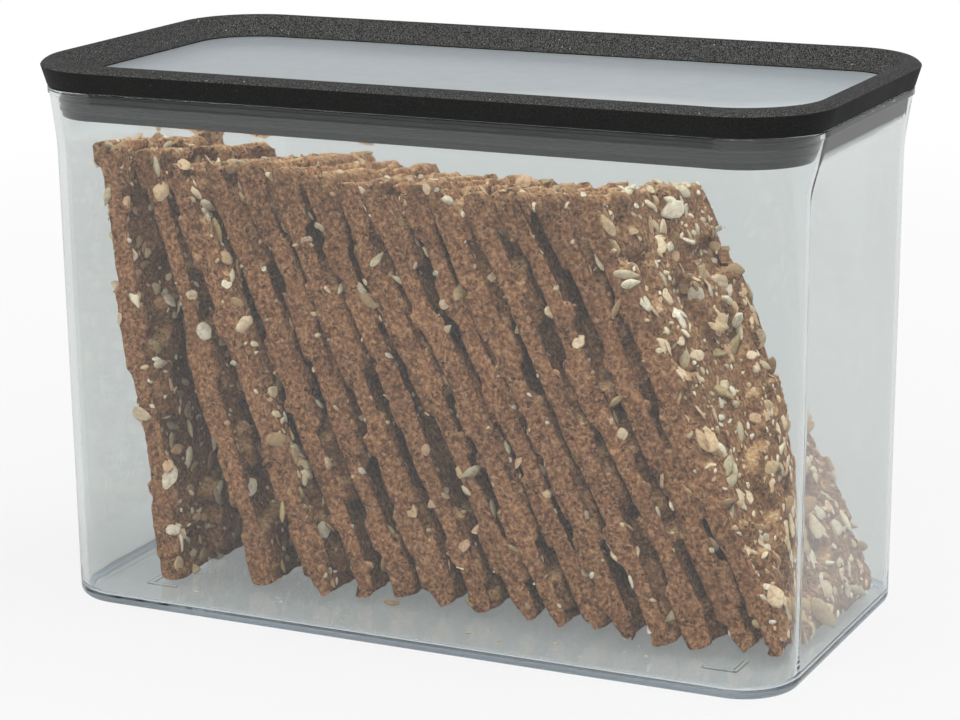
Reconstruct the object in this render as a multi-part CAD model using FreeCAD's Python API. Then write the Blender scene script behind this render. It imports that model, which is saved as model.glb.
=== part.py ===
# Clear cracker box with a push-on lid, holding a leaning row of seeded crispbread slices.
# Millimetres, +Z up. The origin is the middle of the base, on the surface that the box stands on.
import FreeCAD, Part
import math
import os

os.makedirs("parts", exist_ok=True)
Vec = FreeCAD.Vector

# Box body, outside sizes
base_length = 193.0
base_depth = 92.8
base_corner = 14.2
wall_draft = 0.95          # how much each side has leaned out where the collar starts
body_corner = 14.8
collar_height = 12.6       # from the lip down to where the upright wall turns out
collar_flare = 2.5         # how much each side leans out over the collar
collar_corner = 20.2
wall = 1.8
floor_thickness = 2.0
base_round = 2.2           # rounding along the lower edge, outside
floor_round = 1.8          # rounding along the floor, inside
lip_height = 1.8           # band along the mouth
lip_proud = 0.45
box_height = 131.4         # mouth of the box, where the lid sits

# Feet under the base, L shaped in plan
foot_height = 0.6
foot_inset = 16.2          # from the sides of the base to the corner of the L
foot_leg = 8.6
foot_width = 1.2

# Lid
rim_height = 6.6           # from the mouth of the box to the top of the rim
rim_flare = 1.5            # how much the rim leans out over its height
crest_inset = 3.1          # from the widest line of the rim to its top
rim_shoulder = 1.6         # from the top of the rim down to its widest line
rim_width = 6.4            # from the widest line to the window
rim_foot = 0.5             # flat land beside the window
rim_foot_proud = 0.35
window_margin = 1.8        # thickness of the margin that the rim sits on
window_raise = 1.0         # from the margin up to the top of the window
window_side_gap = 0.1
plug_depth = 5.6           # ring below the window, inside the mouth
plug_thickness = 2.0
plug_gap = 0.6             # between the plug and the wall of the box
seal_above = 1.0           # plain band of the plug above the seal
seal_below = 1.6
seal_groove = 0.9
seal_lip = 0.8             # height of each of the two lips
seal_gap = 0.25            # between the lips and the wall of the box
seal_back_gap = 0.1

# Row of slices: the first leans on the left end, each next one on the slice before it
head_room = 7.4            # above the first slice, below the plug
front_room = 21.0          # in front of the slices
rear_room = 12.6
slice_air = 0.2            # least room between two slices, beside the waves on their faces
slice_swell = 0.3          # how much the thickness comes and goes
slice_warp = 0.55          # how much the slice bends to and fro
slice_ripple = 0.25        # shorter waves on top of that
slice_corner = 1.6
slice_top_drop = 7.5       # how much lower the slices are along their rear side
slice_grow = 3.6           # how much taller the last slice is than the first
slice_seat = 0.2           # above the floor
first_foot_room = 18.4     # from the left end to the foot of the first slice
end_gap = 0.4              # between the last slice and the right end
first_head_room = 3.0      # from the left end to the head of the first slice
last_head_room = 61.6      # from the right end to the head of the last slice
turn_last = 2.2            # degrees that the last slice is turned in plan
warp_length = 64.0
ripple_length = 29.0
swell_length = 22.0
warp_shift = 0.5           # radians that each wave moves on from one slice to the next
ripple_shift = 0.7
swell_shift = 2.4
wave_points = 9            # points along a slice that its waves are drawn through
fit_attempts = 12          # rounds in which the thickness of the slices settles
# Gaps between the feet of the slices, from the left, as shares of an even gap
gap_shares = [2.4, 1.8, 1.0, 0.88, 1.22, 1.14, 1.3, 0.88, 0.88, 0.94, 0.98, 0.92, 0.88, 0.88]
# How far each slice stands behind the front of the row's middle, from the left
set_back = [-5.0, -0.5, -2.5, 1.5, 4.0, 1.5, 2.0, 0.5, -0.5, 1.0, -2.0, -2.5, -1.0, 2.0, 1.5]

# Heights worked out from these sizes
base_bottom = foot_height
floor_top = base_bottom + floor_thickness
lip_bottom = box_height - lip_height
collar_start = lip_bottom - collar_height
rim_top = box_height + rim_height
margin_bottom = box_height - window_margin
window_top = box_height + window_raise
plug_bottom = margin_bottom - plug_depth
seal_top = margin_bottom - seal_above
seal_bottom = plug_bottom + seal_below


# Half length, half depth and corner radius of the outside of the box at a height
def outline_at(height):
    lean = wall_draft * (height - base_bottom) / (collar_start - base_bottom)
    corner = base_corner + (body_corner - base_corner) * lean / wall_draft
    if height > collar_start:
        share = (height - collar_start) / (lip_bottom - collar_start)
        lean = wall_draft + collar_flare * share
        corner = body_corner + (collar_corner - body_corner) * share
    return base_length / 2 + lean, base_depth / 2 + lean, corner


def inset(outline, distance):
    return tuple(size - distance for size in outline)


# Closed wire of a rectangle with round corners, at a height
def plan(outline, height):
    half_x, half_y, corner = outline
    straight_x = half_x - corner
    straight_y = half_y - corner
    diagonal = corner * math.sqrt(0.5)
    edges = []
    for turn in range(4):
        angle = 90 * turn
        along, across = (straight_x, straight_y) if turn % 2 == 0 else (straight_y, straight_x)
        start = Vec(along + corner, -across, height)
        end = Vec(along + corner, across, height)
        middle = Vec(along + diagonal, across + diagonal, height)
        after = Vec(along, across + corner, height)
        side = [Part.LineSegment(start, end).toShape(), Part.Arc(end, middle, after).toShape()]
        for edge in side:
            edge.rotate(Vec(0, 0, 0), Vec(0, 0, 1), angle)
            edges.append(edge)
    return Part.Wire(edges)


def loft(*levels):
    return Part.makeLoft([plan(outline, height) for outline, height in levels], True, True)


# Solid inside the box outline, drawn in by a distance, between two heights
def drawn_in(distance, low, high):
    return loft((inset(outline_at(low), distance), low), (inset(outline_at(high), distance), high))


def edges_at(shape, height):
    return [edge for edge in shape.Edges
            if abs(edge.BoundBox.ZMin - height) < 0.001 and abs(edge.BoundBox.ZMax - height) < 0.001]


def save(shape, name):
    shape.exportStep("parts/" + name + ".step")
    print(name, "solids", len(shape.Solids), "volume", round(shape.Volume, 1))


# Box body: drafted walls, flared collar, a lip along the mouth and four feet
def make_box():
    levels = [base_bottom, collar_start, lip_bottom]
    outside = loft(*[(outline_at(height), height) for height in levels])
    outside = outside.makeFillet(base_round, edges_at(outside, base_bottom))
    lip_outline = inset(outline_at(lip_bottom), -lip_proud)
    lip = loft((lip_outline, lip_bottom), (lip_outline, box_height))
    levels = [floor_top, collar_start, box_height + wall]
    inside = loft(*[(inset(outline_at(height), wall), height) for height in levels])
    inside = inside.makeFillet(floor_round, edges_at(inside, floor_top))
    box = outside.fuse(lip).cut(inside)
    reach_x = base_length / 2 - foot_inset
    reach_y = base_depth / 2 - foot_inset
    sunk = base_bottom + floor_thickness / 2
    for side_x in (-1, 1):
        for side_y in (-1, 1):
            corner = Vec(side_x * reach_x, side_y * reach_y, 0)
            leg_x = Part.makeBox(foot_leg, foot_width, sunk)
            leg_y = Part.makeBox(foot_width, foot_leg, sunk)
            foot = leg_x.fuse(leg_y)
            if side_x > 0:
                foot = foot.mirror(Vec(0, 0, 0), Vec(1, 0, 0))
            if side_y > 0:
                foot = foot.mirror(Vec(0, 0, 0), Vec(0, 1, 0))
            foot.translate(corner)
            box = box.fuse(foot)
    return box.removeSplitter()


# Rim of the lid: one profile carried round a rectangle with round corners, a quarter at a time
def make_rim():
    lip_half_x, lip_half_y, lip_corner = inset(outline_at(lip_bottom), -lip_proud)
    half_x = lip_half_x + rim_flare
    half_y = lip_half_y + rim_flare
    corner = lip_corner + rim_flare
    shoulder = rim_top - rim_shoulder
    foot_top = window_top + rim_foot_proud
    crest_round = (crest_inset ** 2 + rim_shoulder ** 2) / (2 * rim_shoulder)
    half_turn = math.asin(crest_inset / crest_round) / 2

    def point(from_widest, height):
        return Vec(half_x - from_widest, half_y - corner, height)

    outer_low = point(rim_flare, box_height)
    outer_high = point(0, shoulder)
    crest_side = point(crest_inset - crest_round * math.sin(half_turn),
                       rim_top - crest_round * (1 - math.cos(half_turn)))
    crest = point(crest_inset, rim_top)
    slope_high = point(crest_inset + rim_foot, rim_top - rim_foot / 2)
    slope_low = point(rim_width - rim_foot, foot_top)
    foot_edge = point(rim_width, foot_top)
    inner_low = point(rim_width, box_height)
    edges = [
        Part.LineSegment(outer_low, outer_high),
        Part.Arc(outer_high, crest_side, crest),
        Part.LineSegment(crest, slope_high),
        Part.LineSegment(slope_high, slope_low),
        Part.LineSegment(slope_low, foot_edge),
        Part.LineSegment(foot_edge, inner_low),
        Part.LineSegment(inner_low, outer_low),
    ]
    profile = Part.Face(Part.Wire([edge.toShape() for edge in edges]))
    centre = Vec(half_x - corner, half_y - corner, 0)
    bend = profile.revolve(centre, Vec(0, 0, 1), 90)
    short_side = profile.extrude(Vec(0, corner - half_y, 0))
    turned = profile.copy()
    turned.rotate(centre, Vec(0, 0, 1), 90)
    long_side = turned.extrude(Vec(corner - half_x, 0, 0))
    quarter = bend.fuse([short_side, long_side])
    half = quarter.fuse(quarter.mirror(Vec(0, 0, 0), Vec(1, 0, 0)))
    return half.fuse(half.mirror(Vec(0, 0, 0), Vec(0, 1, 0))).removeSplitter()


# Outline of the clear window inside the rim
def window_outline():
    return inset(outline_at(lip_bottom), rim_width - rim_flare - lip_proud + window_side_gap)


# Window: a clear plate with a thinner margin that the rim sits on
def make_window():
    margin_outline = inset(outline_at(margin_bottom), wall + plug_gap)
    margin = loft((margin_outline, margin_bottom), (margin_outline, box_height))
    raised = loft((window_outline(), margin_bottom), (window_outline(), window_top))
    return margin.fuse(raised).removeSplitter()


# Plug: a ring below the window that reaches into the mouth, with a groove for the seal
def make_plug():
    outside = wall + plug_gap
    ring = drawn_in(outside, plug_bottom, margin_bottom)
    ring = ring.cut(drawn_in(outside + plug_thickness, plug_bottom - wall, margin_bottom + wall))
    band = drawn_in(outside - plug_gap, seal_bottom, seal_top)
    groove = band.cut(drawn_in(outside + seal_groove, seal_bottom, seal_top))
    return ring.cut(groove).removeSplitter()


# Seal: a soft ring in the groove of the plug, with a lip along its top and its bottom
def make_seal():
    back = wall + plug_gap + seal_groove - seal_back_gap
    bore = drawn_in(back, seal_bottom - wall, seal_top + wall)
    seal = drawn_in(wall + plug_gap, seal_bottom, seal_top)
    for low in (seal_bottom, seal_top - seal_lip):
        seal = seal.fuse(drawn_in(wall + seal_gap, low, low + seal_lip))
    return seal.cut(bore).removeSplitter()


# Sideways wave along a slice, running a little aslant across it
def wave(number, across, up, length, shift):
    return math.sin(2 * math.pi * (up + across / 2) / length + shift * number)


# How far the middle of a slice is bent aside, and half its thickness, at a place on it
def slice_middle_at(number, across, up):
    warp = slice_warp * wave(number, across, up, warp_length, warp_shift)
    return warp + slice_ripple * wave(number, -across, up, ripple_length, ripple_shift)


def slice_half_at(number, across, up):
    return slice_thickness / 2 + slice_swell * wave(number, across, up, swell_length, swell_shift)


# One slice standing upright, with the middle of its lower edge at the origin:
# a warped slab, trimmed to an outline with small round corners
def make_upright_slice(number, width, height):
    spare = slice_thickness
    wires = []
    for across in (-width / 2 - spare, 0, width / 2 + spare):
        left_points = []
        right_points = []
        for step in range(wave_points):
            up = (height + 2 * spare) * step / (wave_points - 1) - spare
            middle = slice_middle_at(number, across, up)
            half = slice_half_at(number, across, up)
            left_points.append(Vec(middle - half, across, up))
            right_points.append(Vec(middle + half, across, up))
        left = Part.BSplineCurve()
        left.interpolate(left_points)
        right = Part.BSplineCurve()
        right.interpolate(right_points)
        top = Part.LineSegment(left_points[-1], right_points[-1])
        bottom = Part.LineSegment(right_points[0], left_points[0])
        wires.append(Part.Wire([edge.toShape() for edge in (left, top, right, bottom)]))
    slab = Part.makeLoft(wires, True, False)
    reach = 2 * slice_thickness
    low_front = Vec(-reach, -width / 2, 0)
    high_front = Vec(-reach, -width / 2, height)
    high_rear = Vec(-reach, width / 2, height - slice_top_drop)
    low_rear = Vec(-reach, width / 2, 0)
    outline = Part.makePolygon([low_front, high_front, high_rear, low_rear, low_front])
    trim = Part.Face(outline).extrude(Vec(2 * reach, 0, 0))
    corners = [edge for edge in trim.Edges if abs(edge.BoundBox.XLength - 2 * reach) < 0.001]
    trim = trim.makeFillet(slice_corner, corners)
    return slab.common(trim).Solids[0]


# Height of a slice at a share of the way along the row
def slice_height_at(share):
    return plug_bottom - head_room - floor_top + slice_grow * share


# Width of the slices and the middle of the row, from the front of the box to its back
def row_width():
    inner_depth = inset(outline_at(floor_top), wall)[1]
    width = 2 * inner_depth - front_room - rear_room
    return width, inner_depth - rear_room - width / 2


# Foot, head, height and lean of each slice, from the left, for slices of one thickness
def places_for(thickness):
    end_low = inset(outline_at(floor_top), wall)[0]
    end_high = inset(outline_at(collar_start), wall)[0]
    turned_out = row_width()[0] / 2 * math.sin(math.radians(turn_last))
    last_foot_room = thickness + slice_swell + turned_out + end_gap
    first_foot = first_foot_room - end_low
    first_head = first_head_room - end_high
    foot_span = end_low - last_foot_room - first_foot
    head_span = end_high - last_head_room - first_head
    places = []
    for number in range(len(gap_shares) + 1):
        share = number / len(gap_shares)
        foot = first_foot + foot_span * sum(gap_shares[:number]) / sum(gap_shares)
        head = first_head + head_span * share
        height = slice_height_at(share)
        places.append((foot, head, height, math.asin((foot - head) / height)))
    return places


# Thickness with which the slices fill the row and still clear each other
def fitted_thickness():
    thickness = 0
    for attempt in range(fit_attempts):
        places = places_for(thickness)
        rooms = []
        for (foot, head, _, _), (next_foot, next_head, _, next_lean) in zip(places, places[1:]):
            rooms.append(min(next_foot - foot, next_head - head) * math.cos(next_lean))
        thickness = min(rooms) - 2 * slice_swell - slice_ripple - slice_air
    return thickness


# Row of slices, each leaning from its foot on the floor to its head
def make_slices():
    width, middle = row_width()
    places = places_for(slice_thickness)
    slices = []
    for number, (foot, head, height, lean) in enumerate(places):
        solid = make_upright_slice(number, width, height)
        solid.rotate(Vec(0, 0, 0), Vec(0, 1, 0), -math.degrees(lean))
        solid.rotate(Vec(0, 0, 0), Vec(0, 0, 1), -turn_last * number / (len(places) - 1))
        aside = foot + slice_thickness / 2 * math.cos(lean)
        rise = floor_top + slice_seat - solid.optimalBoundingBox().ZMin
        solid.translate(Vec(aside, middle + set_back[number], rise))
        slices.append(solid)
    return slices


slice_thickness = fitted_thickness()
print("slice thickness", round(slice_thickness, 3))
save(make_box(), "box_body")
save(make_rim(), "lid_rim")
save(make_window(), "lid_window")
save(make_plug(), "lid_plug_ring")
save(make_seal(), "lid_seal")
for number, solid in enumerate(make_slices()):
    save(solid, "cracker_%02d" % (number + 1))
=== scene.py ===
import bmesh
import bpy
import math
import numpy as np
from mathutils import Matrix, Vector
from mathutils.bvhtree import BVHTree
from mathutils.geometry import delaunay_2d_cdt


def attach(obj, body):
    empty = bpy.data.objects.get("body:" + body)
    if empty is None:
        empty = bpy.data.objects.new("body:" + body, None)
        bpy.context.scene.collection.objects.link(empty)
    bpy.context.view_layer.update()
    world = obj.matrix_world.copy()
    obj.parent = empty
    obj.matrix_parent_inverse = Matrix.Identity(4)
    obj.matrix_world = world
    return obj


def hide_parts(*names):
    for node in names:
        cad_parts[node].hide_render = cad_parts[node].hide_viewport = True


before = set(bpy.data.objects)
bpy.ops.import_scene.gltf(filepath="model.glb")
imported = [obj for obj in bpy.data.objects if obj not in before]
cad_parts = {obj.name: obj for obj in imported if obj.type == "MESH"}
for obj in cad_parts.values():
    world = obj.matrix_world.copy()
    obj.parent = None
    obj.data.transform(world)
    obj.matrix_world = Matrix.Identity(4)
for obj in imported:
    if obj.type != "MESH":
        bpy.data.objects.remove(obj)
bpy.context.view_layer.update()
scene = bpy.context.scene
scene.view_settings.view_transform = "Standard"
# light that is caught in the clear base needs many bounces to come out
scene.cycles.max_bounces = 32
scene.cycles.transmission_bounces = 32
scene.cycles.glossy_bounces = 16
mm = 0.001
print("stage 1: frame loaded,", len(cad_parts), "nodes")


# shader helpers

def newMaterial(name):
    material = bpy.data.materials.new(name)
    material.use_nodes = True
    material.node_tree.nodes.clear()
    return material, material.node_tree


def addNode(tree, kind, values=None, **settings):
    node = tree.nodes.new(kind)
    for key, value in settings.items():
        setattr(node, key, value)
    for key, value in (values or {}).items():
        node.inputs[key].default_value = value
    return node


def ramp(tree, source, stops):
    node = addNode(tree, "ShaderNodeValToRGB")
    elements = node.color_ramp.elements
    while len(elements) < len(stops):
        elements.new(0.5)
    for element, (place, colour) in zip(elements, stops):
        element.position = place
        element.color = (*colour, 1.0) if len(colour) == 3 else colour
    tree.links.new(source, node.inputs["Fac"])
    return node.outputs["Color"]


def grey(value):
    return (value, value, value)


def mixColour(tree, factor, first, second, blend="MIX"):
    node = addNode(tree, "ShaderNodeMix", data_type="RGBA", blend_type=blend)
    for socket, value in ((node.inputs["Factor"], factor), (node.inputs[6], first), (node.inputs[7], second)):
        if isinstance(value, bpy.types.NodeSocket):
            tree.links.new(value, socket)
        elif isinstance(value, (int, float)):
            socket.default_value = value
        else:
            socket.default_value = (*value, 1.0)
    return node.outputs[2]


def mathNode(tree, operation, first, second=0.0, clamp=False):
    node = addNode(tree, "ShaderNodeMath", operation=operation, use_clamp=clamp)
    for socket, value in zip(node.inputs, (first, second)):
        if isinstance(value, bpy.types.NodeSocket):
            tree.links.new(value, socket)
        else:
            socket.default_value = value
    return node.outputs[0]


def endWith(tree, shader):
    tree.links.new(shader.outputs[0], addNode(tree, "ShaderNodeOutputMaterial").inputs["Surface"])


# ends with the first shader, or with the second by the given share
def endWithEither(tree, share, first, second):
    mix = addNode(tree, "ShaderNodeMixShader")
    tree.links.new(share, mix.inputs["Fac"])
    tree.links.new(first.outputs[0], mix.inputs[1])
    tree.links.new(second.outputs[0], mix.inputs[2])
    endWith(tree, mix)


def addBump(tree, shader, height, strength, distance):
    bump = addNode(tree, "ShaderNodeBump", {"Strength": strength, "Distance": distance})
    tree.links.new(height, bump.inputs["Height"])
    tree.links.new(bump.outputs["Normal"], shader.inputs["Normal"])


def newGroup(name, inputs, outputs):
    group = bpy.data.node_groups.new(name, "ShaderNodeTree")
    for label, value in inputs.items():
        socket = group.interface.new_socket(label, in_out="INPUT", socket_type="NodeSocketFloat")
        socket.default_value = value
    for label, kind in outputs.items():
        group.interface.new_socket(label, in_out="OUTPUT", socket_type=kind)
    return group, addNode(group, "NodeGroupInput"), addNode(group, "NodeGroupOutput")


def useGroup(tree, group, **values):
    node = addNode(tree, "ShaderNodeGroup", node_tree=group)
    for label, value in values.items():
        node.inputs[label].default_value = value
    return node


# dust that settles on soft plastic: sparse pale specks
def makeDustGroup():
    group, start, end = newGroup("settledDust", {"Scale": 900.0, "Amount": 0.1},
                                 {"Mask": "NodeSocketFloat"})
    place = addNode(group, "ShaderNodeTexCoord").outputs["Object"]
    cells = addNode(group, "ShaderNodeTexVoronoi", {"Randomness": 1.0})
    group.links.new(place, cells.inputs["Vector"])
    group.links.new(start.outputs["Scale"], cells.inputs["Scale"])
    dots = ramp(group, cells.outputs["Distance"], [(0.10, grey(1.0)), (0.22, grey(0.0))])
    parts = addNode(group, "ShaderNodeSeparateColor")
    group.links.new(cells.outputs["Color"], parts.inputs["Color"])
    chosen = mathNode(group, "LESS_THAN", parts.outputs["Red"], start.outputs["Amount"])
    bright = mathNode(group, "MULTIPLY", chosen, parts.outputs["Green"])
    group.links.new(mathNode(group, "MULTIPLY", dots, bright), end.inputs["Mask"])
    return group


# fine uneven skin of a moulding: a broad mottle and a fine grain
def makeSkinGroup():
    group, start, end = newGroup("mouldedSkin", {"Broad": 60.0, "Fine": 1500.0},
                                 {"Mottle": "NodeSocketFloat", "Grain": "NodeSocketFloat"})
    place = addNode(group, "ShaderNodeTexCoord").outputs["Object"]
    for size, outlet, detail in (("Broad", "Mottle", 3.0), ("Fine", "Grain", 2.0)):
        noise = addNode(group, "ShaderNodeTexNoise", {"Detail": detail, "Roughness": 0.55})
        group.links.new(place, noise.inputs["Vector"])
        group.links.new(start.outputs[size], noise.inputs["Scale"])
        group.links.new(noise.outputs["Fac"], end.inputs[outlet])
    return group


# baked dough: clumps of crumb and open pores between them
def makeBakedGroup():
    group, start, end = newGroup("bakedCrumb", {"Clump": 420.0, "Pore": 900.0},
                                 {"Clumps": "NodeSocketFloat", "Pores": "NodeSocketFloat",
                                  "Height": "NodeSocketFloat"})
    place = addNode(group, "ShaderNodeTexCoord").outputs["Object"]
    drift = addNode(group, "ShaderNodeTexNoise", {"Scale": 700.0, "Detail": 2.0})
    group.links.new(place, drift.inputs["Vector"])
    bent = addNode(group, "ShaderNodeVectorMath", operation="MULTIPLY_ADD")
    group.links.new(drift.outputs["Color"], bent.inputs[0])
    bent.inputs[1].default_value = (0.0016, 0.0016, 0.0016)
    group.links.new(place, bent.inputs[2])
    clumps = addNode(group, "ShaderNodeTexNoise", {"Detail": 5.0, "Roughness": 0.68})
    group.links.new(bent.outputs[0], clumps.inputs["Vector"])
    group.links.new(start.outputs["Clump"], clumps.inputs["Scale"])
    cells = addNode(group, "ShaderNodeTexVoronoi", {"Randomness": 1.0}, feature="SMOOTH_F1")
    group.links.new(bent.outputs[0], cells.inputs["Vector"])
    group.links.new(start.outputs["Pore"], cells.inputs["Scale"])
    pores = ramp(group, cells.outputs["Distance"], [(0.16, grey(1.0)), (0.42, grey(0.0))])
    patch = addNode(group, "ShaderNodeTexNoise", {"Scale": 330.0, "Detail": 2.0})
    group.links.new(place, patch.inputs["Vector"])
    where = ramp(group, patch.outputs["Fac"], [(0.44, grey(0.0)), (0.60, grey(1.0))])
    openPores = mathNode(group, "MULTIPLY", pores, where)
    group.links.new(clumps.outputs["Fac"], end.inputs["Clumps"])
    group.links.new(openPores, end.inputs["Pores"])
    group.links.new(mathNode(group, "SUBTRACT", clumps.outputs["Fac"], openPores), end.inputs["Height"])
    return group


dustGroup = makeDustGroup()
skinGroup = makeSkinGroup()
bakedGroup = makeBakedGroup()


# clear plastic that bends light for the eye and lets the lamps through to the contents
def makeClearPlastic(name, look):
    material, tree = newMaterial(name)
    skin = useGroup(tree, skinGroup, Broad=look["wave"], Fine=look["smudge"])
    shader = addNode(tree, "ShaderNodeBsdfPrincipled", {
        "IOR": look["ior"], "Transmission Weight": 1.0 - look["scatter"], "Metallic": 0.0})
    rough = ramp(tree, skin.outputs["Grain"], [(0.35, grey(look["polish"])), (0.8, grey(look["haze"]))])
    tree.links.new(rough, shader.inputs["Roughness"])
    tint = mixColour(tree, skin.outputs["Mottle"], look["tint"], look["tintDeep"])
    tree.links.new(tint, shader.inputs["Base Color"])
    addBump(tree, shader, skin.outputs["Mottle"], look["ripple"], look["relief"])
    through = addNode(tree, "ShaderNodeBsdfTransparent", {"Color": (*look["through"], 1.0)})
    path = addNode(tree, "ShaderNodeLightPath")
    soft = mathNode(tree, "MAXIMUM", path.outputs["Is Shadow Ray"], path.outputs["Is Diffuse Ray"])
    endWithEither(tree, soft, shader, through)
    return material


# dark plastic and rubber, with grain, mottle, settled dust, and pale flecks on upward faces that are partly
# dust and partly painted light
def makeDarkPlastic(name, look):
    material, tree = newMaterial(name)
    skin = useGroup(tree, skinGroup, Broad=look["broad"], Fine=look["fine"])
    dust = useGroup(tree, dustGroup, Scale=look["dustScale"], Amount=look["dustAmount"])
    shader = addNode(tree, "ShaderNodeBsdfPrincipled", {
        "IOR": 1.5, "Metallic": 0.0, "Specular IOR Level": look["shine"],
        "Sheen Weight": look["sheen"], "Sheen Roughness": 0.45})
    base = mixColour(tree, skin.outputs["Mottle"], look["dark"], look["light"])
    facing = addNode(tree, "ShaderNodeSeparateXYZ")
    tree.links.new(addNode(tree, "ShaderNodeNewGeometry").outputs["Normal"], facing.inputs["Vector"])
    # faces that slope upward take the pale flecks, which are partly dust and partly painted light from above,
    # and the settled dust
    upward = ramp(tree, facing.outputs["Z"], [(0.0, grey(0.1)), (0.4, grey(0.9)), (1.0, grey(0.4))])
    dustAndLightFlecks = ramp(tree, skin.outputs["Grain"], [(0.42, grey(0.0)), (0.72, grey(look["dustAndLightFleck"]))])
    dustAndLightSpeckled = mixColour(tree, mathNode(tree, "MULTIPLY", dustAndLightFlecks, upward), base, look["dustAndLightFleckColour"])
    settled = mathNode(tree, "MULTIPLY", dust.outputs["Mask"], upward)
    tree.links.new(mixColour(tree, settled, dustAndLightSpeckled, look["dustColour"]), shader.inputs["Base Color"])
    rough = ramp(tree, skin.outputs["Mottle"], [(0.3, grey(look["smooth"])), (0.75, grey(look["rough"]))])
    tree.links.new(rough, shader.inputs["Roughness"])
    height = mathNode(tree, "ADD", skin.outputs["Grain"], dust.outputs["Mask"])
    addBump(tree, shader, height, look["bump"], look["relief"])
    endWith(tree, shader)
    return material


# mesh helpers

def makeObject(name, points, faces, materials, sharpAngle=35.0):
    mesh = bpy.data.meshes.new(name)
    mesh.from_pydata([tuple(point) for point in points], [], faces)
    mesh.validate()
    for polygon in mesh.polygons:
        polygon.use_smooth = True
    mesh.set_sharp_from_angle(angle=math.radians(sharpAngle))
    for material in materials:
        mesh.materials.append(material)
    thing = bpy.data.objects.new(name, mesh)
    scene.collection.objects.link(thing)
    return thing


# faces that look straight down stay flat
def faceOutward(thing):
    straightDown = -0.999
    work = bmesh.new()
    work.from_mesh(thing.data)
    bmesh.ops.recalc_face_normals(work, faces=work.faces)
    for face in work.faces:
        face.smooth = face.normal.z > straightDown
    work.to_mesh(thing.data)
    work.free()


# the box's outline, as the construction gives it
boxShape = {
    "baseLength": 193.0, "baseDepth": 92.8, "baseCorner": 14.2, "wallDraft": 0.95, "bodyCorner": 14.8,
    "baseBottom": 0.6, "floorTop": 2.6, "collarStart": 117.0, "lipBottom": 129.6, "mouth": 131.4,
    "collarFlare": 2.5, "collarCorner": 20.2, "wall": 1.8, "baseRound": 2.2, "floorRound": 1.8,
    "lipProud": 0.45, "lipEdge": 0.2, "lipWidth": 1.6, "mouthEdge": 0.35, "flatRun": 6.0, "wallRun": 4.0,
    "footInset": 16.2, "footLeg": 8.6, "footWidth": 1.2, "footEdge": 0.15,
    "bend": 3.0, "bendLevels": (-6.0, -3.0, -1.5, 0.0, 1.5, 3.0, 6.0), "cornerSteps": 20, "guard": 0.6,
}
roundSteps = 5
footCorners = 6


# the collar turns out of the wall in a soft bend
def outlineAt(height):
    s = boxShape
    above = height - s["collarStart"]
    wallHeight = s["collarStart"] - s["baseBottom"]
    collarHeight = s["lipBottom"] - s["collarStart"]
    if abs(above) < s["bend"]:
        turned = (above + s["bend"]) ** 2 / (4 * s["bend"])
    else:
        turned = max(above, 0.0)
    sizes = []
    for start, atCollar, more in ((0.0, s["wallDraft"], s["collarFlare"]),
                                  (s["baseCorner"], s["bodyCorner"], s["collarCorner"] - s["bodyCorner"])):
        wallSlope = (atCollar - start) / wallHeight
        sizes.append(atCollar + wallSlope * above + (more / collarHeight - wallSlope) * turned)
    lean, corner = sizes
    return s["baseLength"] / 2 + lean, s["baseDepth"] / 2 + lean, corner


# one level ring of points round the box, with a guard point beside each bend
def ringAt(outline, inset, height):
    halfX, halfY, corner = (size - inset for size in outline)
    steps = boxShape["cornerSteps"]
    guard = min(boxShape["guard"], halfY - corner)
    ring = []
    for turn, (signX, signY) in enumerate(((1, 1), (-1, 1), (-1, -1), (1, -1))):
        centreX, centreY = signX * (halfX - corner), signY * (halfY - corner)
        arc = []
        for step in range(steps + 1):
            angle = math.radians(90 * (turn + step / steps))
            arc.append((centreX + corner * math.cos(angle), centreY + corner * math.sin(angle)))
        angle = math.radians(90 * turn)
        before = (arc[0][0] + guard * math.sin(angle), arc[0][1] - guard * math.cos(angle))
        after = (arc[-1][0] - guard * math.cos(angle), arc[-1][1] - guard * math.sin(angle))
        ring += [before] + arc + [after]
    return [(x * mm, y * mm, height * mm) for x, y in ring]


# rounds the corners of a profile given as (inset, height, radius)
def softProfile(stops, closed):
    straight, mostReach = -0.9995, 0.46
    line = []
    count = len(stops)
    for index, (inset, height, radius) in enumerate(stops):
        here = np.array((inset, height))
        if radius == 0 or (not closed and index in (0, count - 1)):
            line.append(tuple(here))
            continue
        back = np.array(stops[index - 1][:2]) - here
        ahead = np.array(stops[(index + 1) % count][:2]) - here
        back, backLength = back / np.linalg.norm(back), np.linalg.norm(back)
        ahead, aheadLength = ahead / np.linalg.norm(ahead), np.linalg.norm(ahead)
        if back @ ahead < straight:
            line.append(tuple(here))
            continue
        half = math.acos(max(-1.0, min(1.0, float(back @ ahead)))) / 2
        reach = min(radius / math.tan(half), mostReach * backLength, mostReach * aheadLength)
        radius = reach * math.tan(half)
        middle = (back + ahead) / np.linalg.norm(back + ahead)
        centre = here + middle * radius / math.sin(half)
        first = here + back * reach - centre
        last = here + ahead * reach - centre
        for step in range(roundSteps + 1):
            share = step / roundSteps
            spoke = first * (1 - share) + last * share
            line.append(tuple(centre + spoke / np.linalg.norm(spoke) * radius))
    return line


# faces between each ring of points and the next
def bandFaces(levels, count, closed):
    faces = []
    for level in range(levels if closed else levels - 1):
        low, high = level * count, (level + 1) % levels * count
        for step in range(count):
            after = (step + 1) % count
            faces.append((low + step, low + after, high + after, high + step))
    return faces


# carries a profile round the box; outlineFor gives the outline at a height
def shellOf(profile, closed, outlineFor):
    rings = [ringAt(outlineFor(height), inset, height) for inset, height in profile]
    count = len(rings[0])
    points = [point for ring in rings for point in ring]
    faces = bandFaces(len(rings), count, closed)
    if not closed:
        faces.append(tuple(reversed(range(count))))
        faces.append(tuple(range((len(rings) - 1) * count, len(rings) * count)))
    return points, faces


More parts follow.
